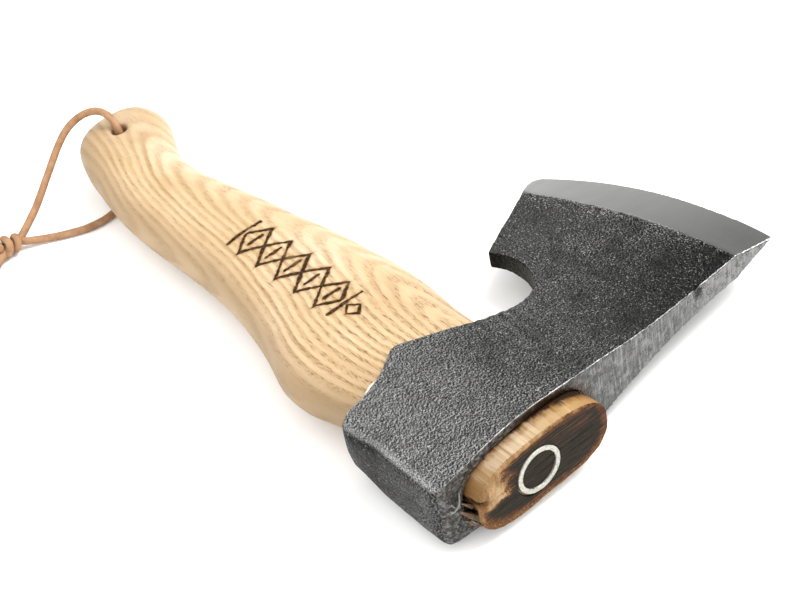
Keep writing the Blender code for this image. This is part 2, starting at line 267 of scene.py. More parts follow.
def finish_piece(obj, body, slot_name, *nodes):
    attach(obj, body)
    if nodes:
        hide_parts(*nodes)
    return obj


def join_rows(shape, rows):
    """Faces between each row of vertices and the next one, all the way round."""
    for first, second in zip(rows, rows[1:]):
        for index in range(len(first)):
            after = (index + 1) % len(first)
            shape.faces.new((first[index], first[after], second[after], second[index]))


def shape_object(name, shape, sharp_angle=None):
    """The finished shape as an object, smooth but for edges sharper than this many degrees."""
    bmesh.ops.recalc_face_normals(shape, faces=shape.faces)
    mesh = bpy.data.meshes.new(name)
    shape.to_mesh(mesh)
    shape.free()
    mesh.shade_smooth()
    if sharp_angle is not None:
        mesh.set_sharp_from_angle(angle=math.radians(sharp_angle))
    return new_object(name, mesh)


def smooth_row(knots, steps):
    """Points on a Catmull-Rom curve through the knots."""
    rows = [Vector(knot) for knot in knots]
    rows = [2 * rows[0] - rows[1]] + rows + [2 * rows[-1] - rows[-2]]
    points = []
    for before, start, end, after in zip(rows, rows[1:], rows[2:], rows[3:]):
        for step in range(steps):
            t = step / steps
            point = start * 2 + (end - before) * t
            point += (before * 2 - start * 5 + end * 4 - after) * t ** 2
            point += (start * 3 - before - end * 3 + after) * t ** 3
            points.append(point / 2)
    points.append(rows[-2])
    return points


def path_length(points):
    return sum((b - a).length for a, b in zip(points, points[1:]))


# Lanyard ----------------------------------------------------------------------------------

# Middle lines of the laces, in millimetres: X and Y from the hole, Z from the floor
UPPER_LEG = [(0, 0, 17), (0, 0, 25), (-1.1, 0, 30.6), (-5.1, -0.4, 34.4), (-10.9, -2.6, 35), (-15.1, -7, 33.4),
             (-16.7, -12.8, 30.6), (-16.5, -18.8, 26.2), (-14.1, -27.8, 18.6), (-10.5, -38.8, 9.9),
             (-7.1, -49.2, 4.4)]
LOWER_LEG = [(0, 0, 17), (0, 0, 9), (0.3, -1, 4.4), (1.9, -5.2, 1.75), (4.9, -11.2, 1.6), (7.1, -18.8, 1.6),
             (6.5, -26.6, 1.6), (3.1, -34.4, 1.6), (-1.1, -41.6, 1.8), (-4.1, -47.6, 2.8)]
KNOT_CORES = {"a": UPPER_LEG[-2:] + [(-5.4, -54, 4.6), (-4.6, -58, 3.2), (-3.7, -61.8, 2.2)],
              "b": LOWER_LEG[-2:] + [(-7.2, -53, 3.9), (-6.6, -58, 3.4), (-7.1, -62.6, 2.4)]}
TAILS = {"a": [(-4.6, -58, 3.2), (-3.7, -61.8, 2.2), (-0.9, -65, 1.7), (2.3, -66.8, 1.6)],
         "b": [(-6.6, -58, 3.4), (-7.1, -62.6, 2.4), (-6.7, -66.6, 1.7), (-4.3, -70, 1.6)]}
KNOT_TURNS = 2.3       # how often the lace goes round in the knot
KNOT_STEPS = 130
TUCK_STEPS = 14        # over which its ends dive into the knot


def from_hole(knots):
    """A lace's middle line through these knots, measured from the hole."""
    return smooth_row([(HOLE.x + x * MM, HOLE.y + y * MM, z * MM) for x, y, z in knots], 4)


def lace(name, points, radius, sides=20):
    """A round lace along the points, a little uneven, as a mesh tube."""
    shape = bmesh.new()
    rows = []
    across = Vector((0.31, 0.17, 0.93))   # any direction that no lace starts along
    for index, point in enumerate(points):
        along = (points[min(index + 1, len(points) - 1)] - points[max(index - 1, 0)]).normalized()
        across = (across - along * across.dot(along)).normalized()
        beside = along.cross(across)
        row = []
        for side in range(sides):
            turn = 2 * math.pi * side / sides
            outward = across * math.cos(turn) + beside * math.sin(turn)
            uneven = 1 + 0.05 * noise.noise((point + outward * radius) / (1.6 * MM))
            row.append(shape.verts.new(point + outward * radius * uneven))
        rows.append(row)
    join_rows(shape, rows)
    shape.faces.new(reversed(rows[0]))
    shape.faces.new(rows[-1])
    return shape_object(name, shape, 60)


def leather():
    skin = Shader("tan_leather_lace", 0.62)
    soft = skin.noise(0.35, 3)
    fine = skin.noise(5, 3, 0.6)
    colour = soft.ramp((0.3, (0.235, 0.115, 0.048)), (0.55, (0.32, 0.172, 0.08)), (0.75, (0.39, 0.225, 0.115)))
    skin.set("Base Color", skin.mix(fine.line(0.3, 0.7, 0.0, 0.25), colour, (0.17, 0.08, 0.034)))
    skin.set("Normal", skin.bump(fine, 0.12))
    return skin


def add_lanyard():
    upper_points = from_hole(UPPER_LEG)
    lower_points = from_hole(LOWER_LEG)
    upper = lace("lanyard_upper_leg", upper_points, LACE_RADIUS)
    lower = lace("lanyard_lower_leg", lower_points, LACE_RADIUS)
    low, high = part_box("lanyard_knot")
    centre, half = (low + high) / 2, (high - low) / 2
    across, upward = half.x - LACE_RADIUS, half.z - LACE_RADIUS
    points = []
    for step in range(KNOT_STEPS + 1):
        turn = 2 * math.pi * (0.1 + KNOT_TURNS * step / KNOT_STEPS)
        tuck = 1 - 0.75 * max(0, 1 - min(step, KNOT_STEPS - step) / TUCK_STEPS)
        slide = (2 * step / KNOT_STEPS - 1) * (half.y - LACE_RADIUS) + 0.5 * MM * math.sin(2 * turn)
        points.append(centre + Vector((across * tuck * math.cos(turn), slide, upward * tuck * math.sin(turn))))
    knot = lace("lanyard_knot_wraps", points, LACE_RADIUS)
    cores = [lace("lanyard_knot_core_" + letter, from_hole(route), LACE_RADIUS * 0.99)
             for letter, route in KNOT_CORES.items()]
    tails = []
    for letter, route in TAILS.items():
        tail = lace("lanyard_tail_" + letter + "_lace", from_hole(route), LACE_RADIUS)
        tails.append(finish_piece(tail, "lanyard", "tan_leather", "lanyard_tail_" + letter))
    for piece, node in ((upper, "lanyard_cord"), (lower, "lanyard_cord"), (knot, "lanyard_knot")):
        finish_piece(piece, "lanyard", "tan_leather", node)
    for core in cores:
        finish_piece(core, "lanyard", "tan_leather")
    skin = leather()
    for piece in (upper, lower, knot, *cores, *tails):
        skin.put_on(piece)
    path_length(upper_points)
    path_length(lower_points)


# Dense meshes -----------------------------------------------------------------------------

def numbers(collection, name, width, kind=np.float32):
    """One property of every item, as an array of rows."""
    flat = np.empty(len(collection) * width, kind)
    collection.foreach_get(name, flat)
    return flat.reshape(-1, width)


def coordinates(mesh):
    return numbers(mesh.vertices, "co", 3).astype(float)


def normals_of(mesh):
    return numbers(mesh.vertex_normals, "vector", 3).astype(float)


def set_coordinates(mesh, points):
    mesh.vertices.foreach_set("co", points.astype(np.float32).ravel())
    mesh.update()


def keep_number(mesh, name, values):
    """Stores one number per vertex, which a material reads by this name."""
    attribute = mesh.attributes.new(name, "FLOAT", "POINT")
    attribute.data.foreach_set("value", values.astype(np.float32))


def dense_copy(name, node, voxel, trim_x=None):
    """The node's solid as an even mesh drawn onto the CAD surface, cut off beyond trim_x."""
    shape = bmesh.new()
    shape.from_mesh(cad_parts[node].data)
    bmesh.ops.remove_doubles(shape, verts=shape.verts, dist=0.002 * MM)
    if trim_x is not None:
        everything = shape.verts[:] + shape.edges[:] + shape.faces[:]
        cut = bmesh.ops.bisect_plane(shape, geom=everything, plane_co=(trim_x, 0, 0), plane_no=(1, 0, 0),
                                     clear_outer=True)
        rim = [part for part in cut["geom_cut"] if isinstance(part, bmesh.types.BMEdge)]
        bmesh.ops.contextual_create(shape, geom=rim)
    tree = BVHTree.FromBMesh(shape)
    source = new_object("dense_source", bpy.data.meshes.new("dense_source"))
    shape.to_mesh(source.data)
    shape.free()
    remesh = source.modifiers.new("Even", "REMESH")
    remesh.mode = "VOXEL"
    remesh.voxel_size = voxel
    bpy.context.view_layer.update()
    evaluated = source.evaluated_get(bpy.context.evaluated_depsgraph_get())
    mesh = bpy.data.meshes.new_from_object(evaluated)
    bpy.data.objects.remove(source, do_unlink=True)
    mesh.materials.clear()
    points = coordinates(mesh)
    points = np.array([tree.find_nearest(Vector(point))[0] for point in points])
    set_coordinates(mesh, points)
    mesh.shade_smooth()
    return new_object(name, mesh)


def relax(points, edges, weight, rounds):
    """Moves each point towards the middle of its neighbours, by its own weight."""
    count = len(points)
    degree = np.bincount(edges.ravel(), minlength=count)[:, None]
    for _ in range(rounds):
        total = np.empty_like(points)
        for axis in range(3):
            total[:, axis] = (np.bincount(edges[:, 0], points[edges[:, 1], axis], count)
                              + np.bincount(edges[:, 1], points[edges[:, 0], axis], count))
        points = points + weight[:, None] * (total / degree - points)
    return points


def ease(values, low, high):
    t = np.clip((values - low) / (high - low), 0, 1)
    return t * t * (3 - 2 * t)


def grain_at(points, size, seed, octaves=2):
    """Fractal noise at each point, about -1 to 1, with this grain size in metres."""
    shift = Vector((seed * 17.3, seed * 5.1, seed * 9.7))
    return np.array([noise.fractal(Vector(point) / size + shift, 1.0, 2.0, octaves) for point in points])


# Head -------------------------------------------------------------------------------------

EDGE_RADIUS = 120.8 * MM
EDGE_CENTRE = (TENON_END_X - 25.7 * MM, EDGE_Y - EDGE_RADIUS)
GROUND_MIDDLE = 102.5 * MM     # radius where the ground bevel starts, halfway along the edge
GROUND_TILT = 2.7 * MM         # how that radius changes towards the heel
GROUND_BOW = 3.35 * MM         # and towards both ends
CHEEK_AT_TOE = 5.1 * MM        # half thickness where the ground bevel starts
CHEEK_AT_HEEL = 2.85 * MM
POLL_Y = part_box("axe_head")[0].y
POLL_TOP_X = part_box("axe_head")[1].x
POLL_LOW_X = 78.3 * MM
PITS = [(86.3, -73.7, 1.5, 1.1), (100.6, -71.2, 0.9, 0.6), (86.7, -53.3, 1.1, 0.5), (84.5, -70.6, 0.8, 0.4),
        (109, -38, 0.9, 0.35), (73, -2, 1.0, 0.3), (95, 20, 1.1, 0.3)]   # X, Y, radius, depth in mm
NICKS = [(114.5, 40.3, 21.3, 2.7)]   # X, Y, Z, radius in mm, on the top side's rim
EDGE_MIDDLE_ANGLE = math.radians(107.3)
EDGE_HALF_ANGLE = math.radians(21.1)
HEEL_TIP = (111.3 * MM, 77 * MM)
BEARD_FRONT = ((50.5, 7.2), (-0.483, 0.876))   # a point on the beard's front side and its direction, in mm
TENON_Y = AXIS_Y + 2 * MM
TENON_HALF = (25.5 * MM, 12.8 * MM)
TENON_ROUNDNESS = 2.6


def outside_tenon(points):
    """About how far each point is outside the tenon's oval, in millimetres."""
    _, y, z = points.T
    across = np.abs(y - TENON_Y) / TENON_HALF[0]
    up = np.abs(z - MID_Z) / TENON_HALF[1]
    size = (across ** TENON_ROUNDNESS + up ** TENON_ROUNDNESS) ** (1 / TENON_ROUNDNESS)
    return (size - 1) * np.hypot(y - TENON_Y, z - MID_Z) / np.maximum(size, 0.1) / MM


def round_corner(points, corner_x, corner_y, inward_x, radius):
    """Points beyond a round upright corner are brought back onto it."""
    x, y, _ = points.T
    into_x = (x - corner_x) * inward_x - radius
    into_y = y - corner_y - radius
    away = np.hypot(into_x, into_y)
    beyond = (into_x < 0) & (into_y < 0) & (away > radius)
    pull = np.where(beyond, radius / np.maximum(away, 1e-9), 1)
    moved = points.copy()
    moved[:, 0] = np.where(beyond, corner_x + inward_x * (radius + into_x * pull), x)
    moved[:, 1] = np.where(beyond, corner_y + radius + into_y * pull, y)
    return moved


def sharpen_corners(points):
    """Draws the heel's tip and the beard's front side out to where they are seen."""
    moved = points.copy()
    x, y, z = points.T
    tip = 1 - ease(np.hypot(x - HEEL_TIP[0], y - HEEL_TIP[1]), 0, 30 * MM)
    radius = np.hypot(x - EDGE_CENTRE[0], y - EDGE_CENTRE[1])
    moved[:, 0] += 0.6 * MM * tip
    moved[:, 1] += 1.3 * MM * tip * ease(radius, EDGE_RADIUS - 16 * MM, EDGE_RADIUS - 1 * MM)
    (start_x, start_y), (run_x, run_y) = BEARD_FRONT
    over_x, over_y = x / MM - start_x, y / MM - start_y
    along = over_x * run_x + over_y * run_y
    inward = over_x * run_y - over_y * run_x
    push = np.interp(along, [2, 10, 20, 32, 39, 46], [0, 0.7, 1.4, 1.5, 0.8, 0]) * (1 - ease(inward, 0.5, 10))
    push = push * ease(z, MID_Z - 6 * MM, MID_Z) * (x < 60 * MM)
    moved[:, 0] -= run_y * push * MM
    moved[:, 1] += run_x * push * MM
    return moved


def add_head():
    head = dense_copy("hatchet_head", "axe_head", (0.5) * MM)
    mesh = head.data
    points = coordinates(mesh)
    edges = numbers(mesh.edges, "vertices", 2, np.int32)
    facing_up_handle = normals_of(mesh)[:, 0]
    x, y, z = points.T   # views, so they follow what is done to these points
    radius = np.hypot(x - EDGE_CENTRE[0], y - EDGE_CENTRE[1])
    angle = np.arctan2(y - EDGE_CENTRE[1], x - EDGE_CENTRE[0])
    share = (angle - EDGE_MIDDLE_ANGLE) / EDGE_HALF_ANGLE
    ground = (radius - (GROUND_MIDDLE + GROUND_TILT * share + GROUND_BOW * share ** 2)) / MM
    blade = ease(ground, -2, 1)
    toe_to_heel = np.clip((share + 1) / 2, 0, 1)
    shoulder = CHEEK_AT_TOE + (CHEEK_AT_HEEL - CHEEK_AT_TOE) * toe_to_heel
    inner = radius - ground * MM
    limit = shoulder * (EDGE_RADIUS - radius) / (EDGE_RADIUS - inner) + 0.05 * MM
    height = z - MID_Z
    flatter = np.sign(height) * np.minimum(np.abs(height), np.maximum(limit, 0.02 * MM))
    z[:] = MID_Z + np.where(ground > -0.5, flatter, height)
    at_edge = ease(radius, EDGE_RADIUS - 2.5 * MM, EDGE_RADIUS - 1 * MM)
    poll = 1 - ease(y, -70 * MM, -52 * MM)
    points = relax(points, edges, 0.5 * (1 - at_edge), 3)
    points = relax(points, edges, 0.5 * poll, 9)
    x, y, z = points.T
    y -= 1 * MM * (1 - ease(y, POLL_Y + 1 * MM, POLL_Y + 12 * MM))
    lean = (1 - ease(y, POLL_Y, POLL_Y + 9 * MM)) * (1 - ease(x, 82 * MM, 96 * MM))
    y -= 1.8 * MM * lean * ease(z, 4 * MM, 24 * MM)
    z += 4.5 * MM * lean * (1 - ease(z, 0, 22 * MM))
    points = round_corner(points, POLL_TOP_X, POLL_Y - 1 * MM, -1, 5.5 * MM)
    points = round_corner(points, POLL_LOW_X, POLL_Y - 2.6 * MM, 1, 4.5 * MM)
    points = relax(points, edges, 0.5 * poll, 4)
    points = sharpen_corners(points)
    x, y, z = points.T
    for pit_x, pit_y, size, sunk in PITS:
        away = np.hypot(x - pit_x * MM, (y - pit_y * MM) * 1.3) / MM
        z -= sunk * MM * (1 - ease(away, 0.3 * size, size)) * (z > MID_Z + 8 * MM)
    set_coordinates(mesh, points)
    outward = normals_of(mesh)
    keep_number(mesh, "tenon_gap", outside_tenon(points))
    flank = ease(np.abs(outward[:, 2]), 0.5, 0.9)
    rough = (1 - blade) * (0.35 + 0.65 * flank)
    dents = 0.5 + 0.5 * grain_at(points, 7 * MM, 1)
    hammer = 0.5 + 0.5 * grain_at(points, 1.5 * MM, 2, 2)
    ragged = np.abs(grain_at(points, 3.2 * MM, 3, 3))
    top_rim = ease(facing_up_handle, 0.15, 0.45) * (1 - ease(facing_up_handle, 0.7, 0.95))
    top_rim *= ease(y, -15 * MM, 0)
    nick = np.zeros(len(points))
    for *place, size in NICKS:
        away = np.linalg.norm(points / MM - place, axis=1)
        nick = np.maximum(nick, 1 - ease(away, 0.4 * size, size))
    wave = np.abs(grain_at(points, 9 * MM, 5, 2))
    depth = rough * (0.16 * dents + 0.2 * hammer) + top_rim * (0.6 * ragged + 0.6 * wave) + 1.1 * nick
    depth += poll * 0.25 * dents
    points = points - outward * np.clip(depth, 0, 1.6)[:, None] * MM
    set_coordinates(mesh, points)
    x, y, z = points.T
    keep_number(mesh, "ground", ground)
    keep_number(mesh, "top_side", facing_up_handle * ease(x, 88 * MM, 98 * MM))
    # Rounded edges at the poll, for wear and a painted highlight
    rounded = np.clip(1 - np.abs(outward[:, 2] - 0.72) / 0.24, 0, 1)
    keep_number(mesh, "worn_glint_rim", rounded * (1 - ease(y, -66 * MM, -60 * MM)))
    keep_number(mesh, "poll_side", -outward[:, 1] * (1 - ease(y, -60 * MM, -50 * MM)))
    # Walls of the notch, which the material paints near black as shade
    painted_shade_wall = np.maximum(-outward[:, 1], np.abs(outward[:, 0])) * ease(y, -30 * MM, -20 * MM)
    keep_number(mesh, "notch_shade_side", painted_shade_wall * (1 - ease(x, 70 * MM, 80 * MM)))
    head_steel().put_on(head)
    finish_piece(head, "hatchet", "forged_steel", "axe_head")


def head_steel():
    """Dark hammered scale with painted relief shading, painted light and shade, and painted glints; satin ground
    bevels with a painted reflection; a streaky ground top side with a painted highlight along its rim.
    """
    steel = Shader("forged_and_ground_steel", metallic=1.0)
    peel = steel.noise(1.4, 2.5, 0.55, 0.3)
    # Painted light and shade on each bump: the noise minus a copy shifted along X lights one side of a bump and
    # shades the other
    behind = steel.noise(1.4, 2.5, 0.55, 0.3, at=steel.vector("ADD", steel.place, (0.3, 0.08, 0)))
    painted_relief_shade = (peel - behind).line(-0.15, 0.15, 0, 1)
    fine = steel.noise(3.2, 2, 0.6)
    broad = steel.noise(0.11, 3, 0.55)
    patch = steel.noise(0.045, 2, 0.5)
    # Scale, with painted relief shading, painted light over the eye, and painted shade towards the toe and on the
    # poll wall
    # Painted light: over the eye the scale takes its lit copy (light), elsewhere its shaded copy (dark)
    lit_over_eye = (steel.y + patch * 20).steps(-9, -55)
    pebble = steel.cells(0.8)
    tone = peel.line(0.34, 0.68, 0, 1) * 0.15 - 0.1 + painted_relief_shade * 0.66 + fine.line(0.3, 0.7, 0, 1) * 0.25 + broad * 0.25
    dark = tone.ramp((0.25, (0.004, 0.004, 0.004)), (0.5, (0.017, 0.017, 0.016)), (0.68, (0.052, 0.052, 0.05)),
                     (0.86, (0.19, 0.19, 0.184)))
    # Painted shade, darker towards the toe
    toe_shade = steel.y.steps(-32, 40) * steel.x.steps(64, 110)
    dark = steel.mix(toe_shade * 0.85, dark, (0.006, 0.006, 0.006))
    beard = steel.x.steps(78, 48) * 0.5
    dark = steel.mix(beard, dark, (0.042, 0.042, 0.041))
    light = tone.ramp((0.25, (0.024, 0.024, 0.023)), (0.5, (0.09, 0.09, 0.087)), (0.68, (0.17, 0.17, 0.165)),
                      (0.86, (0.38, 0.38, 0.37)))
    scale = steel.mix(lit_over_eye, dark, light)
    # Painted shade on the walls facing the poll side, darkest away from the tenon's end
    shaded_wall = steel.attribute("poll_side").steps(0.4, 0.8)
    painted_shade_wall = steel.mix(steel.x.steps(118, 88) * 0.84, dark, (0.006, 0.006, 0.005))
    scale = steel.mix(shaded_wall, scale, steel.mix(0.12, painted_shade_wall, (0.008, 0.008, 0.007)))
    # Bright flecks, partly bare metal and partly painted glints: more of them along the bevels, fewer in the painted
    # shade
    edge_glint = steel.attribute("ground").steps(-9, -1)
    fleck_and_glint = steel.noise(1.9, 1, 0.5) + edge_glint * 0.055
    fleck_and_glint = fleck_and_glint.steps(0.635, 0.69) * broad.steps(0.34, 0.5)
    fleck_and_glint = fleck_and_glint * (toe_shade.line(0, 1, 1, 0.6) * steel.math("MAXIMUM", shaded_wall, beard).line(0, 1, 1, 0.5))
    scale = steel.mix(fleck_and_glint * 0.7, scale, (0.64, 0.64, 0.62))
    pinhole = steel.noise(0.62, 1).steps(0.31, 0.27)
    scale = steel.mix(pinhole * 0.8, scale, (0.005, 0.005, 0.005))
    # Worn edges with a painted highlight along the rounded rim at the poll, dimmer in the poll wall's painted shade
    worn_and_glint = steel.attribute("worn_glint_rim") * fine.steps(0.38, 0.62)
    worn_and_glint = worn_and_glint * (shaded_wall * steel.x.steps(104, 90)).line(0, 1, 1, 0.55)
    scale = steel.mix(worn_and_glint * 0.85, scale, (0.55, 0.55, 0.54))
    # Bevels, with a painted reflection: lighter away from the tenon's end, darker towards it
    along = steel.noise((0.35, 0.06, 0.06), 3, 0.6)
    scratch = steel.noise((3.5, 0.25, 0.25), 3, 0.65)
    satin_and_reflection = steel.mix(steel.x.steps(26, 121), (0.42, 0.42, 0.405), (0.068, 0.07, 0.067))
    satin_and_reflection = steel.mix(along.line(0.3, 0.7, 0.0, 0.16), satin_and_reflection, (0.15, 0.15, 0.145))
    satin_and_reflection = steel.mix(scratch.line(0.3, 0.7, 0, 0.1), satin_and_reflection, (0.33, 0.33, 0.32))
    # Top side, ground across its width
    streak = steel.noise((0.2, 1.3, 0.1), 3, 0.55)
    blotch = steel.noise(0.35, 3, 0.6)
    top = streak.ramp((0.31, (0.042, 0.042, 0.04)), (0.5, (0.094, 0.094, 0.09)), (0.69, (0.19, 0.19, 0.184)))
    top = steel.mix(steel.y.steps(20, 46) * 0.3, top, (0.24, 0.24, 0.235))
    cloud = steel.noise(0.2, 3, 0.6)
    top = steel.mix(cloud.steps(0.54, 0.7) * 0.7, top, (0.2, 0.2, 0.194))
    corroded = blotch.steps(0.47, 0.58) * steel.noise(1.6, 2).steps(0.42, 0.58)
    top = steel.mix(corroded * 0.8, top, (0.028, 0.028, 0.026))
    by_tenon = steel.y.steps(12, -12) * blotch.steps(0.42, 0.58)
    top = steel.mix(by_tenon * 0.6, top, (0.04, 0.04, 0.038))
    tear = steel.noise(0.7, 3, 0.7)
    for x, y, z, size in NICKS:
        away = steel.vector("LENGTH", steel.vector("ADD", steel.place, (-x, -y, 1.5 - z)))
        torn = (away + tear * 10).steps(size + 5.3, size + 4.3)
        top = steel.mix(torn, top, fine.ramp((0.38, (0.008, 0.008, 0.007)), (0.65, (0.08, 0.08, 0.076))))
    # Brown stain and painted shade on the top side around the tenon
    reach = steel.attribute("tenon_gap") * steel.y.line(-66, -58, 0.42, 0.72)
    stain_and_shade_edge = reach + steel.noise(0.5, 3) * -7 - 0.7
    stain_and_shade = stain_and_shade_edge.steps(0.5, -3.2)
    top = steel.mix(stain_and_shade, top, fine.ramp((0.3, (0.012, 0.007, 0.004)), (0.7, (0.06, 0.035, 0.018))))
    # Where each one is
    ragged = (steel.noise(0.8, 3, 0.6) - 0.5) * 2.4
    ground = (steel.attribute("ground") + ragged).steps(-0.25, 0.25)
    top_line = steel.attribute("top_side") + (peel - 0.5) * 0.35
    is_top = top_line.steps(0.42, 0.6)
    # Painted highlight along the rim between the top side and the cheeks
    rim_highlight = top_line.steps(0.2, 0.32) * top_line.steps(0.8, 0.6)
    rim_highlight = rim_highlight * steel.y.steps(-68, -60)
    rim_highlight = rim_highlight * steel.noise(0.9, 2, 0.6).line(0.38, 0.5, 0.25, 1)
    # Painted shade: the walls of the notch are near black
    notch_shade_mask = steel.attribute("notch_shade_side").steps(0.3, 0.55)
    colour = steel.mix(ground, scale, satin_and_reflection)
    notch_painted_shade = steel.mix(fine.line(0.35, 0.65, 0, 1), (0.004, 0.004, 0.003), (0.03, 0.028, 0.02))
    colour = steel.mix(notch_shade_mask, colour, notch_painted_shade)
    poll_end = (steel.y + blotch * 8).steps(-36, -46)
    cast = steel.noise(0.75, 3, 0.65) + fine * 0.3
    cast = cast.ramp((0.48, (0.022, 0.02, 0.017)), (0.64, (0.07, 0.067, 0.061)), (0.78, (0.22, 0.216, 0.206)))
    top = steel.mix(poll_end * 0.85, top, cast)
    colour = steel.mix(is_top, colour, top)
    colour = steel.mix(rim_highlight * broad.line(0.3, 0.6, 0.3, 1.0), colour, (0.85, 0.85, 0.84))
    steel.set("Base Color", colour)
    gloss = steel.blend(steel.math("MAXIMUM", ground, is_top), fine.line(0.3, 0.7, 0.55, 0.34), 0.36)
    steel.set("Roughness", gloss)
    smooth_top = is_top * poll_end.line(0, 1, 0.85, 0.0)
    smooth_part = steel.math("SUBTRACT", 1, steel.math("MAXIMUM", ground, smooth_top), clamp=True)
    height = peel + fine * 0.4 + blotch * 0.5 + steel.math("MINIMUM", pebble, 0.6) * -0.5
    height = height * smooth_part + scratch * 0.015
    steel.set("Normal", steel.bump(height, 1.45))
    return steel


# Handle -----------------------------------------------------------------------------------

GROWTH_RING = 1.9              # width of a growth ring, in millimetres
ARCH_X = 78                    # the grip's grain arches towards the butt; this is the X where that starts, in mm
ARCH_SLOPE = 0.15              # how quickly the arches widen
ARCH_SHARE = 0.8               # their middle line: 0 is the near edge of the handle, 1 the far one
STATIONS = 90
NEAR_SWELL_X, FAR_SWELL_X = -100 * MM, -88 * MM   # beyond these the butt's edges no longer lead the grain
MARK_START, MARK_END = -17, 38   # the burned border's run along the handle, in millimetres of X
MARK_Y = -45
WOOD_LIGHT = (0.555, 0.425, 0.29)
WOOD_MIDDLE = (0.49, 0.345, 0.195)
WOOD_DEEP = (0.41, 0.28, 0.15)
WOOD_LINE = (0.29, 0.18, 0.075)
WOOD_FIBRE = (0.34, 0.225, 0.105)
WOOD_PORE = (0.13, 0.07, 0.024)
# Painted shade colour of the grip's near side, also used to darken the butt
WOOD_SIDE = (0.255, 0.165, 0.075)


def ash(name):
    """Ash: growth rings, open pores and fine fibre; returns the shader, its colour and its height."""
    wood = Shader(name, 0.52)
    waver = wood.noise((0.022, 0.07, 0.07), 2, 0.45)
    ripple = wood.noise((0.06, 0.3, 0.3), 2, 0.5)
    turns = (wood.attribute("growth") + (waver - 0.5) * 2.0 + (ripple - 0.5) * 0.7) / GROWTH_RING
    ring = wood.math("FRACT", turns)
    band = ring.steps(0.0, 0.22) * ring.steps(0.8, 0.36)
    season = wood.noise(0.37, 2, 0.7, at=wood.add("CombineXYZ", {0: turns}))
    fibre = wood.noise((0.1, 2.6, 2.6), 3, 0.6)
    pore = wood.noise((0.36, 3.6, 3.6), 2, 0.5)
    cloud = wood.noise((0.018, 0.05, 0.05), 3, 0.5)
    near_head = wood.x.steps(-10, 70)
    patchy = wood.noise(1, 2, at=wood.stretched((0.03, 0.12, 0.12), (7, 3, 5)))
    strength = season.line(0.35, 0.65, 0.3, 1.0) * patchy.line(0.35, 0.65, 0.6, 1.0)
    strength = strength * wood.attribute("far_share").line(0.5, 0.78, 1.15, 0.55)
    light = cloud.ramp((0.3, WOOD_DEEP), (0.5, WOOD_MIDDLE), (0.7, WOOD_LIGHT))
    colour = wood.mix(band * strength, light, WOOD_LINE)
    colour = wood.mix(fibre.line(0.35, 0.7, 0.0, 0.42), colour, WOOD_FIBRE)
    comb = pore + near_head * 0.03
    dots = comb.steps(0.545, 0.65) * (band.line(0, 1, 0.12, 0.95) * near_head.line(0, 1, 0.6, 1.0))
    colour = wood.mix(dots, colour, WOOD_PORE)
    height = dots * -0.7 + fibre * 0.35 + band * -0.25
    return wood, colour, height


def handle_wood():
    wood, colour, height = ash("oiled_ash_grip")
    # Burned border: a chain of lozenges with a tick in each, between end bars
    along = wood.x - MARK_START
    side = abs(wood.y - MARK_Y)
    wobble = (wood.noise(0.9, 2) - 0.5) * 0.9
    half_step = (MARK_END - MARK_START) / 10
    fold = wood.math("PINGPONG", along, half_step)
    outer = abs(side + fold * -1.35 + wobble) * 0.6
    tick = abs(half_step - fold + wobble) + wood.math("MAXIMUM", side - 3.2, 0)
    inside = wood.x.steps(MARK_START - 0.4, MARK_START) * wood.x.steps(MARK_END + 0.4, MARK_END)
    nearest = wood.math("MINIMUM", outer, tick) + (1 - inside) * 9
    for bar in (MARK_START - 1.5, MARK_END + 1.5):
        flat = abs(wood.x - bar + wobble)
        ends = wood.math("MAXIMUM", side - 7.6, 0) * 3
        nearest = wood.math("MINIMUM", nearest, flat + ends)
    spot = abs(wood.x - (MARK_END + 6)) + side
    nearest = wood.math("MINIMUM", nearest, abs(spot - 3 + wobble))
    on_top = wood.z.steps(18, 20)
    burn = wood.noise(1.1, 3, 0.6)
    pressed = wood.noise(0.3, 2).line(0.36, 0.62, 0.6, 1.35)
    nearest = nearest / pressed
    groove = nearest.steps(0.85, 0.42) * on_top
    scorch = nearest.steps(1.9, 0.5) * on_top
    colour = wood.mix(scorch * 0.6, colour, (0.25, 0.13, 0.04))
    char = burn.ramp((0.36, (0.075, 0.036, 0.011)), (0.56, (0.014, 0.007, 0.002)))
    colour = wood.mix(groove, colour, char)
    wood.set("Specular IOR Level", groove.line(0, 1, 0.5, 0.08))
    # Raw chip where the wood meets the head, and darker smudges along the grip
    from_chip = wood.vector("ADD", wood.place, (-74.6, 61.5, 0))
    chip = wood.vector("LENGTH", wood.vector("MULTIPLY", from_chip, (0.42, 0.2, 0)))
    chip = (chip + burn * 0.5).steps(1.15, 1.0) * on_top
    colour = wood.mix(chip, colour, (0.64, 0.6, 0.52))
    smudge = wood.noise(1, 2, at=wood.stretched((0.05, 0.11, 0.11), (2, 9, 4))).steps(0.56, 0.72)
    colour = wood.mix(smudge * 0.3, colour, (0.3, 0.19, 0.09))
    # Painted shade on the grip's near side, stronger towards the head; then darker towards the butt
    flank = wood.attribute("flank").steps(0.3, 0.85) * wood.x.line(-20, 60, 0.55, 0.95)
    colour = wood.mix(flank, colour, WOOD_SIDE)
    colour = wood.mix(wood.x.steps(-75, -118) * 0.4, colour, WOOD_SIDE)
    wood.set("Base Color", colour)
    wood.set("Roughness", height.line(-0.4, 0.4, 0.62, 0.46))
    wood.set("Normal", wood.bump(height + groove * -3.5 + chip * -2, 0.09))
    return wood


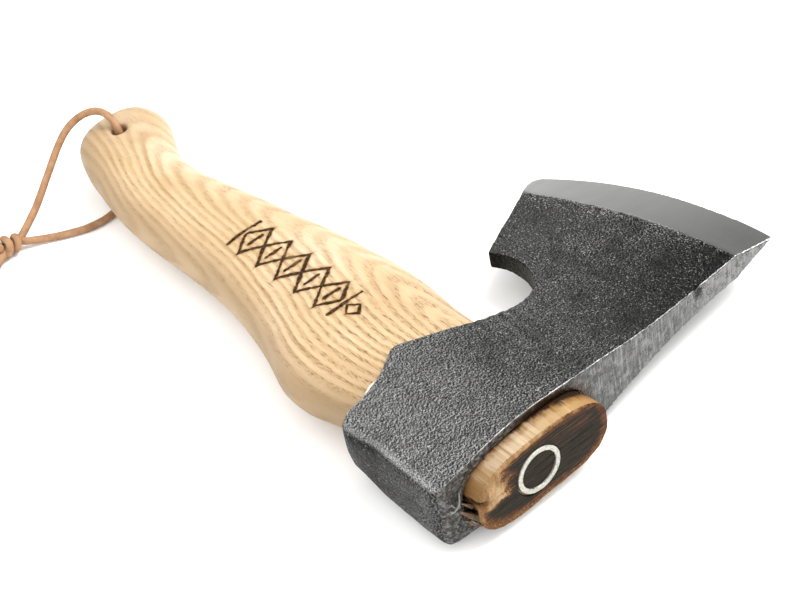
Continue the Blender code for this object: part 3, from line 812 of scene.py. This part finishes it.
def add_grip():
    grip = dense_copy("hatchet_grip", "handle", (0.7) * MM, trim_x=TENON_END_X - 40 * MM)
    mesh = grip.data
    edges = numbers(mesh.edges, "vertices", 2, np.int32)
    points = relax(coordinates(mesh), edges, np.full(len(mesh.vertices), 0.5), 5)
    set_coordinates(mesh, points)
    scraped = grain_at(points * np.array((0.16, 1, 1)), 3 * MM, 8)
    points = points - normals_of(mesh) * (0.05 * MM * (1 + scraped))[:, None]
    set_coordinates(mesh, points)
    x, y, z = points.T
    # Both edges of the handle, read at stations along it; the grain follows them
    stations = np.linspace(x.min(), x.max(), STATIONS)
    place = np.clip(np.searchsorted(stations, x), 1, STATIONS - 1)
    near_edge, far_edge = np.full(STATIONS, np.inf), np.full(STATIONS, -np.inf)
    np.minimum.at(near_edge, place, y)
    np.maximum.at(far_edge, place, y)
    soft = np.hanning(15) / np.hanning(15).sum()
    for line, swell_x in ((near_edge, NEAR_SWELL_X), (far_edge, FAR_SWELL_X)):
        line[stations < swell_x] = line[np.searchsorted(stations, swell_x)]
        line[:] = np.convolve(np.pad(line, 7, mode="edge"), soft, mode="valid")
    near_y, far_y = np.interp(x, stations, near_edge), np.interp(x, stations, far_edge)
    share = (y - near_y) / (far_y - near_y)
    beside = (ARCH_SHARE - share) * 40
    below = ARCH_SLOPE * (ARCH_X - x / MM)
    keep_number(mesh, "growth", np.hypot(beside, below) + 0.1 * z / MM)
    keep_number(mesh, "far_share", share)
    keep_number(mesh, "flank", -normals_of(mesh)[:, 1])
    handle_wood().put_on(grip)
    finish_piece(grip, "hatchet", "oiled_ash", "handle")


# Tenon and its wedges ---------------------------------------------------------------------

RING_OUTER = (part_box("ring_wedge")[1].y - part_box("ring_wedge")[0].y) / 2
RING_INNER = RING_OUTER - 1.7 * MM
RING_LENGTH = 14 * MM
SLOT_HALF = 1.75 * MM
TORN_AWAY = 3.6 * MM           # how much shorter the kerf wedge is at the poll end than in the CAD
TENON_INSIDE_X = TENON_END_X - 42 * MM
TENON_SIDES = 400
RING_SIDES = 144
SPLINTERS = [((123.7, -64.6, 8.4), (124.1, -70.9, 16.9), 1.5), ((123.5, -64.9, 6.0), (124.2, -70.0, 12.2), 1.2),
             ((123.5, -66.0, 15.0), (124.3, -70.3, 20.4), 0.9), ((123.9, -64.0, 5.4), (125.2, -67.2, 8.0), 0.7)]
SPLINTER_SECTION = ((-1, -0.3), (-0.4, -1), (0.7, -0.8), (1, 0.2), (0.2, 1), (-0.7, 0.7))
CURLS = [([(123.4, -69.8, 24.0), (124.4, -70.6, 23.0), (125.0, -71.6, 21.6), (124.8, -72.5, 20.4),
           (124.3, -73.4, 19.4), (123.8, -74.4, 19.6)], 0.4),
         ([(124.6, -72.4, 20.5), (124.2, -73.0, 21.4), (123.6, -73.6, 22.0)], 0.26),
         ([(123.6, -67.6, 10.2), (124.5, -66.6, 8.8), (124.2, -65.6, 7.0)], 0.3)]   # path and radius, mm


def tenon_outline(scale):
    turns = np.linspace(0, 2 * math.pi, TENON_SIDES, endpoint=False)
    power = 2 / TENON_ROUNDNESS
    across = np.sign(np.cos(turns)) * np.abs(np.cos(turns)) ** power
    up = np.sign(np.sin(turns)) * np.abs(np.sin(turns)) ** power
    return TENON_Y + across * TENON_HALF[0] * scale, MID_Z + up * TENON_HALF[1] * scale


def split_at(y, z):
    """1 in the wedge-shaped split that opens the tenon's poll end, 0 away from it."""
    from_poll_end = (y - (TENON_Y - TENON_HALF[0])) / MM
    off_line = np.abs(z - MID_Z - 3.2 * MM + 0.35 * from_poll_end * MM) / MM
    return (1 - ease(from_poll_end, 1.0, 5.5)) * (1 - ease(off_line, 0.3, 1.2))


def end_depth(y, z):
    """How deep the tenon's end lies below its highest plane, in metres."""
    points = np.stack([np.full_like(y, TENON_END_X), y, z], axis=1)
    gap = outside_tenon(points)
    rim_radius = 1.0 + 0.5 * grain_at(points, 4 * MM, 11)
    into_rim = np.clip(1 + gap / rim_radius, 0, 1)
    depth = rim_radius * (1 - np.sqrt(1 - into_rim ** 2 * 0.98))
    depth += 0.12 * (0.5 + 0.5 * grain_at(points * np.array((1, 0.3, 1.4)), 1.4 * MM, 12))
    across = np.hypot(y - AXIS_Y, z - MID_Z)
    in_groove = (across > RING_INNER - 0.25 * MM) & (across < RING_OUTER + 0.2 * MM)
    depth = np.where(in_groove, 1.6, depth + 0.25 * (across < RING_INNER))
    crack = 1 - ease(np.abs(np.abs(z - MID_Z) - SLOT_HALF) / MM, 0.05, 0.25)
    depth += 0.5 * crack * ease(np.abs(grain_at(points * np.array((1, 0.5, 0)), 6 * MM, 15)), 0.05, 0.4)
    return (depth + 4.5 * split_at(y, z)) * MM


def spread(points):
    """The wedges push the tenon's end open: its lower half drops at the poll end, its far end leans out."""
    x, y, z = points.T
    driven = ease(x, TENON_END_X - 15 * MM, TENON_END_X - 1 * MM)
    lower = ease(MID_Z + 2.6 * MM - z, 0, 2.6 * MM)
    near = 1 - ease(y, TENON_Y - 23 * MM, TENON_Y + 4 * MM)
    moved = points.copy()
    moved[:, 2] -= 2.3 * MM * driven * lower * near
    moved[:, 1] += 1.2 * MM * driven * ease(y, TENON_Y + 5 * MM, TENON_Y + 24 * MM)
    moved[:, 2] -= 0.8 * MM * driven * ease(y, TENON_Y, TENON_Y + 24 * MM) * lower
    return moved


def add_tenon():
    rows = []
    for scale in np.concatenate([np.linspace(0.004, 0.9, 84), np.linspace(0.91, 1.0, 16)]):
        y, z = tenon_outline(scale)
        rows.append(np.stack([TENON_END_X - end_depth(y, z), y, z], axis=1))
    torn = [split_at(row[:, 1], row[:, 2]) for row in rows]
    rim_x = rows[-1][:, 0]
    y, z = tenon_outline(1.0)
    low_corner = ease(MID_Z + 3 * MM - z, 0, 1.2 * MM) * (1 - ease(y, TENON_Y - 24.5 * MM, TENON_Y - 14 * MM))
    for back in np.concatenate([np.linspace(0.3, 14, 40), [26, 42]]) * MM:
        x = np.maximum(rim_x - back, TENON_INSIDE_X)
        side = np.stack([x, y, z], axis=1)
        hollow = 0.07 * (1 + grain_at(side * np.array((0.12, 1, 1)), 1.1 * MM, 14)) * MM
        inward = np.stack([np.zeros_like(y), TENON_Y - y, MID_Z - z], axis=1)
        inward /= np.linalg.norm(inward, axis=1)[:, None]
        missing = low_corner * ease(back, 0.4 * MM, 1.6 * MM)
        hollow += missing * (2.2 + 0.9 * grain_at(side * np.array((0.3, 1, 1)), 1.5 * MM, 18)) * MM
        rows.append(side + inward * hollow[:, None])
        torn.append(missing)
    rows = [spread(row) for row in rows]
    shape = bmesh.new()
    verts = [[shape.verts.new(point) for point in row] for row in rows]
    join_rows(shape, verts)
    shape.faces.new(verts[0])
    shape.faces.new(verts[-1])
    tenon = shape_object("hatchet_tenon", shape)
    keep_number(tenon.data, "tenon_gap", outside_tenon(coordinates(tenon.data)))
    keep_number(tenon.data, "torn", np.concatenate(torn))
    tenon_wood("charred_ash_tenon").put_on(tenon)
    finish_piece(tenon, "hatchet", "oiled_ash", "handle")


def tenon_wood(name):
    """Ash whose end is charred, with unburnt, browned and stained parts, and painted shade beside the head and in
    the torn split.
    """
    wood = Shader(name, 0.52)
    streak = wood.noise((0.06, 1.5, 1.5), 3, 0.6)
    blot = wood.noise(0.28, 3, 0.6)
    fine = wood.noise(1.6, 3, 0.65)
    burnt_grain = wood.noise((1, 0.09, 1.6), 3, 0.6)
    along = (wood.y - TENON_Y / MM) / (TENON_HALF[0] / MM)
    up = (wood.z - MID_Z / MM) / (TENON_HALF[1] / MM)
    # Side: cream middle, browner towards the cutting edge, stained and in painted shade beside the head
    bar = wood.noise((0.035, 0.34, 0.1), 3, 0.6)
    across = along * 0.5 + bar * 0.2 + 0.4
    side = across.ramp((0.03, (0.17, 0.09, 0.032)), (0.12, (0.27, 0.175, 0.092)), (0.26, (0.38, 0.3, 0.21)),
                       (0.55, (0.365, 0.26, 0.148)), (0.8, (0.31, 0.19, 0.078)), (0.97, (0.23, 0.127, 0.05)))
    side = wood.mix(bar.line(0.5, 0.68, 0, 0.5), side, (0.56, 0.47, 0.35))
    side = wood.mix(bar.line(0.48, 0.32, 0, 0.5), side, (0.27, 0.155, 0.06))
    side = wood.mix(streak.steps(0.55, 0.7) * 0.75, side, (0.22, 0.12, 0.045))
    from_end = TENON_END_X / MM - wood.x
    stain_and_shade = from_end + streak * 1.3 + blot * 4.5 + along * 1.1
    # Stain and painted shade, near black where the side goes into the head
    side = wood.mix(stain_and_shade.steps(6.4, 9.8) * bar.line(0.35, 0.6, 1.0, 0.45), side, (0.15, 0.07, 0.022))
    side = wood.mix(stain_and_shade.steps(9.0, 10.8), side, (0.018, 0.009, 0.004))
    # End: char, brown edge, unburnt patch at the poll end
    bare_across = (along + 0.86) / 0.3
    bare_up = (up - 0.3) / 0.62
    bare = wood.math("SQRT", bare_across * bare_across + bare_up * bare_up)
    bare = bare + up.steps(0.0, -0.3) + (blot - 0.5) * 1.5 + (fine - 0.5)
    char = burnt_grain.ramp((0.3, (0.011, 0.009, 0.006)), (0.55, (0.018, 0.015, 0.01)), (0.7, (0.03, 0.021, 0.014)))
    reddish = burnt_grain.steps(0.5, 0.66) * up.steps(-0.1, 0.6)
    char = wood.mix(reddish * along.steps(-0.2, 0.3), char, (0.075, 0.03, 0.014))
    patchy = fine * 0.4 + burnt_grain * 0.6
    browned = patchy.ramp((0.38, (0.022, 0.01, 0.006)), (0.5, (0.062, 0.025, 0.011)), (0.64, (0.14, 0.065, 0.025)))
    light = (bar + fine * 0.35).ramp((0.5, (0.14, 0.07, 0.026)), (0.66, (0.22, 0.13, 0.058)),
                                     (0.82, (0.34, 0.225, 0.12)))
    gap = wood.attribute("tenon_gap")
    upper_rim = gap + blot * 3.2 + up * 1.2 + along * -1.6
    low_rim = gap + blot * 5 + burnt_grain * 3 + up * -1.8
    is_brown = wood.math("MAXIMUM", bare.steps(1.5, 1.1), upper_rim.steps(-0.1, 1.1))
    is_light = wood.math("MAXIMUM", bare.steps(1.12, 0.85), upper_rim.steps(1.5, 2.8))
    end = wood.mix(wood.math("MAXIMUM", is_brown, low_rim.steps(1.2, 3.4)), char, browned)
    end = wood.mix(is_light, end, light)
    ochre = (fine + streak * 0.6).ramp((0.62, (0.045, 0.018, 0.007)), (0.8, (0.1, 0.045, 0.016)),
                                       (0.98, (0.19, 0.1, 0.04)))
    end = wood.mix(low_rim.steps(3.3, 4.6) * up.steps(-0.25, -0.5), end, ochre)
    wood.set("Specular IOR Level", 0.06)
    torn = wood.attribute("torn")
    # Torn wood in the split at the poll end and on the lower poll-end corner of the side, darkened as painted shade
    tear_and_shade = streak.ramp((0.35, (0.03, 0.015, 0.007)), (0.52, (0.09, 0.045, 0.02)), (0.68, (0.2, 0.11, 0.05)))
    low_end_shade = up.steps(0.25, -0.05) * along.steps(-0.55, -0.8)
    side = wood.mix(low_end_shade * 0.75, side, fine.ramp((0.35, (0.07, 0.032, 0.012)), (0.65, (0.2, 0.11, 0.045))))
    side = wood.mix(torn.steps(0.15, 0.6), side, tear_and_shade)
    end = wood.mix(torn.steps(0.1, 0.6), end, tear_and_shade)
    is_end = (from_end + (fine - 0.5) * 1.2).steps(1.25, 0.75)
    wood.set("Base Color", wood.mix(is_end, side, end))
    wood.set("Roughness", fine.line(0.3, 0.7, 0.5, 0.75))
    rise = wood.blend(is_end, streak * 1.6, burnt_grain * 0.4)
    wood.set("Normal", wood.bump(rise + fine * 0.7, 0.16))
    return wood


def add_ring():
    """The steel ring wedge, driven in a little unevenly."""
    shape = bmesh.new()
    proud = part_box("ring_wedge")[1].x - TENON_END_X
    soft = 0.22 * MM
    corner = 0.3 * soft
    profile = [(RING_INNER, -RING_LENGTH), (RING_INNER, proud - soft), (RING_INNER + corner, proud - corner),
               (RING_INNER + soft, proud), ((RING_INNER + RING_OUTER) / 2, proud + 0.02 * MM),
               (RING_OUTER - soft, proud), (RING_OUTER - corner, proud - corner), (RING_OUTER, proud - soft),
               (RING_OUTER, -RING_LENGTH)]
    rows = []
    for step in range(RING_SIDES):
        turn = 2 * math.pi * step / RING_SIDES
        across, up = math.cos(turn), math.sin(turn)
        row = []
        for radius, height in profile:
            spot = Vector((TENON_END_X + height, AXIS_Y + radius * across, MID_Z + radius * up))
            uneven = 0.05 * MM * noise.noise(spot / (2.2 * MM))
            row.append(shape.verts.new(spot + Vector((min(uneven, 0) * 1.5, uneven * across, uneven * up))))
        rows.append(row)
    join_rows(shape, rows + rows[:1])
    ring = shape_object("ring_wedge_steel", shape, 50)
    steel = Shader("satin_ring_steel", 0.42, 1.0)
    wear = steel.noise(1.3, 3, 0.6)
    fine = steel.noise(6, 2)
    colour = wear.ramp((0.3, (0.2, 0.19, 0.165)), (0.48, (0.4, 0.385, 0.34)), (0.7, (0.5, 0.485, 0.44)))
    steel.set("Base Color", colour)
    steel.set("Roughness", fine.line(0.3, 0.7, 0.36, 0.55))
    steel.set("Normal", steel.bump(fine, 0.05))
    steel.put_on(ring)
    finish_piece(ring, "hatchet", "ring_steel", "ring_wedge")


def add_burr():
    """A curl of steel left standing beside the tenon at the poll end."""
    pieces = []
    for letter, (curl, radius) in zip("abc", CURLS):
        points = [point * MM for point in smooth_row(curl, 5)]
        pieces.append(lace("steel_burr_" + letter, points, radius * MM, sides=10))
    steel = Shader("bright_burr_steel", 0.34, 1.0)
    grain = steel.noise(2.5, 3)
    steel.set("Base Color", grain.ramp((0.3, (0.09, 0.09, 0.08)), (0.7, (0.24, 0.24, 0.215))))
    steel.set("Normal", steel.bump(grain, 0.1))
    for burr in pieces:
        steel.put_on(burr)
        finish_piece(burr, "hatchet", "forged_steel")


def add_kerf_wedge():
    """The wooden wedge in the tenon's slot, trimmed and charred with the end."""
    low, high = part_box("kerf_wedge")
    across = np.linspace(low.y + TORN_AWAY, high.y, 160)
    half = SLOT_HALF - 0.1 * MM
    heights = np.linspace(MID_Z - half, MID_Z + half, 9)
    y, z = (grid.ravel() for grid in np.meshgrid(across, heights, indexing="ij"))
    top = spread(np.stack([TENON_END_X - end_depth(y, z) + 0.02 * MM, y, z], axis=1))
    bottom = top.copy()
    bottom[:, 0] = low.x
    bottom[:, 2] = MID_Z + (bottom[:, 2] - MID_Z) * 0.35
    shape = bmesh.new()
    upper = [shape.verts.new(point) for point in top]
    lower = [shape.verts.new(point) for point in bottom]
    grid = np.arange(len(top)).reshape(len(across), len(heights))
    squares = (grid[:-1, :-1], grid[1:, :-1], grid[1:, 1:], grid[:-1, 1:])
    for corners in zip(*(corner.ravel() for corner in squares)):
        shape.faces.new([upper[k] for k in corners])
        shape.faces.new([lower[k] for k in reversed(corners)])
    rim = [*grid[:, 0], *grid[-1, 1:], *grid[-2::-1, -1], *grid[0, -2:0:-1]]
    for first, second in zip(rim, rim[1:] + rim[:1]):
        shape.faces.new((upper[first], upper[second], lower[second], lower[first]))
    wedge = shape_object("kerf_wedge_wood", shape, 50)
    keep_number(wedge.data, "tenon_gap", outside_tenon(coordinates(wedge.data)))
    tenon_wood("charred_wedge_wood").put_on(wedge)
    finish_piece(wedge, "hatchet", "wedge_wood", "kerf_wedge")


def add_splinters():
    """Slivers of torn wood left in the gap at the poll end."""
    slivers = bmesh.new()
    for start, stop, width in SPLINTERS:
        start, stop = Vector(start) * MM, Vector(stop) * MM
        along = (stop - start).normalized()
        across = along.cross(Vector((1, 0, 0.2))).normalized()
        over = along.cross(across)
        rows = []
        for share in np.linspace(0, 1, 9):
            middle = start.lerp(stop, share)
            size = width * MM * (1 - 0.85 * share) * (1 + 0.25 * noise.noise(middle / (0.8 * MM)))
            rows.append([slivers.verts.new(middle + across * size * a + over * size * 0.45 * b)
                         for a, b in SPLINTER_SECTION])
        join_rows(slivers, rows)
        slivers.faces.new(rows[0])
        slivers.faces.new(rows[-1])
    splinters = shape_object("tenon_splinters", slivers, 40)
    wood = Shader("torn_brown_wood", 0.7)
    streak = wood.noise((0.4, 0.8, 3.0), 3, 0.6)
    colour = streak.ramp((0.35, (0.05, 0.026, 0.012)), (0.55, (0.13, 0.07, 0.032)), (0.72, (0.27, 0.17, 0.09)))
    wood.set("Base Color", colour)
    wood.set("Normal", wood.bump(streak, 0.2))
    wood.put_on(splinters)
    finish_piece(splinters, "hatchet", "oiled_ash")


add_camera()
add_studio()
add_head()
add_grip()
add_tenon()
add_ring()
add_burr()
add_kerf_wedge()
add_splinters()
add_lanyard()
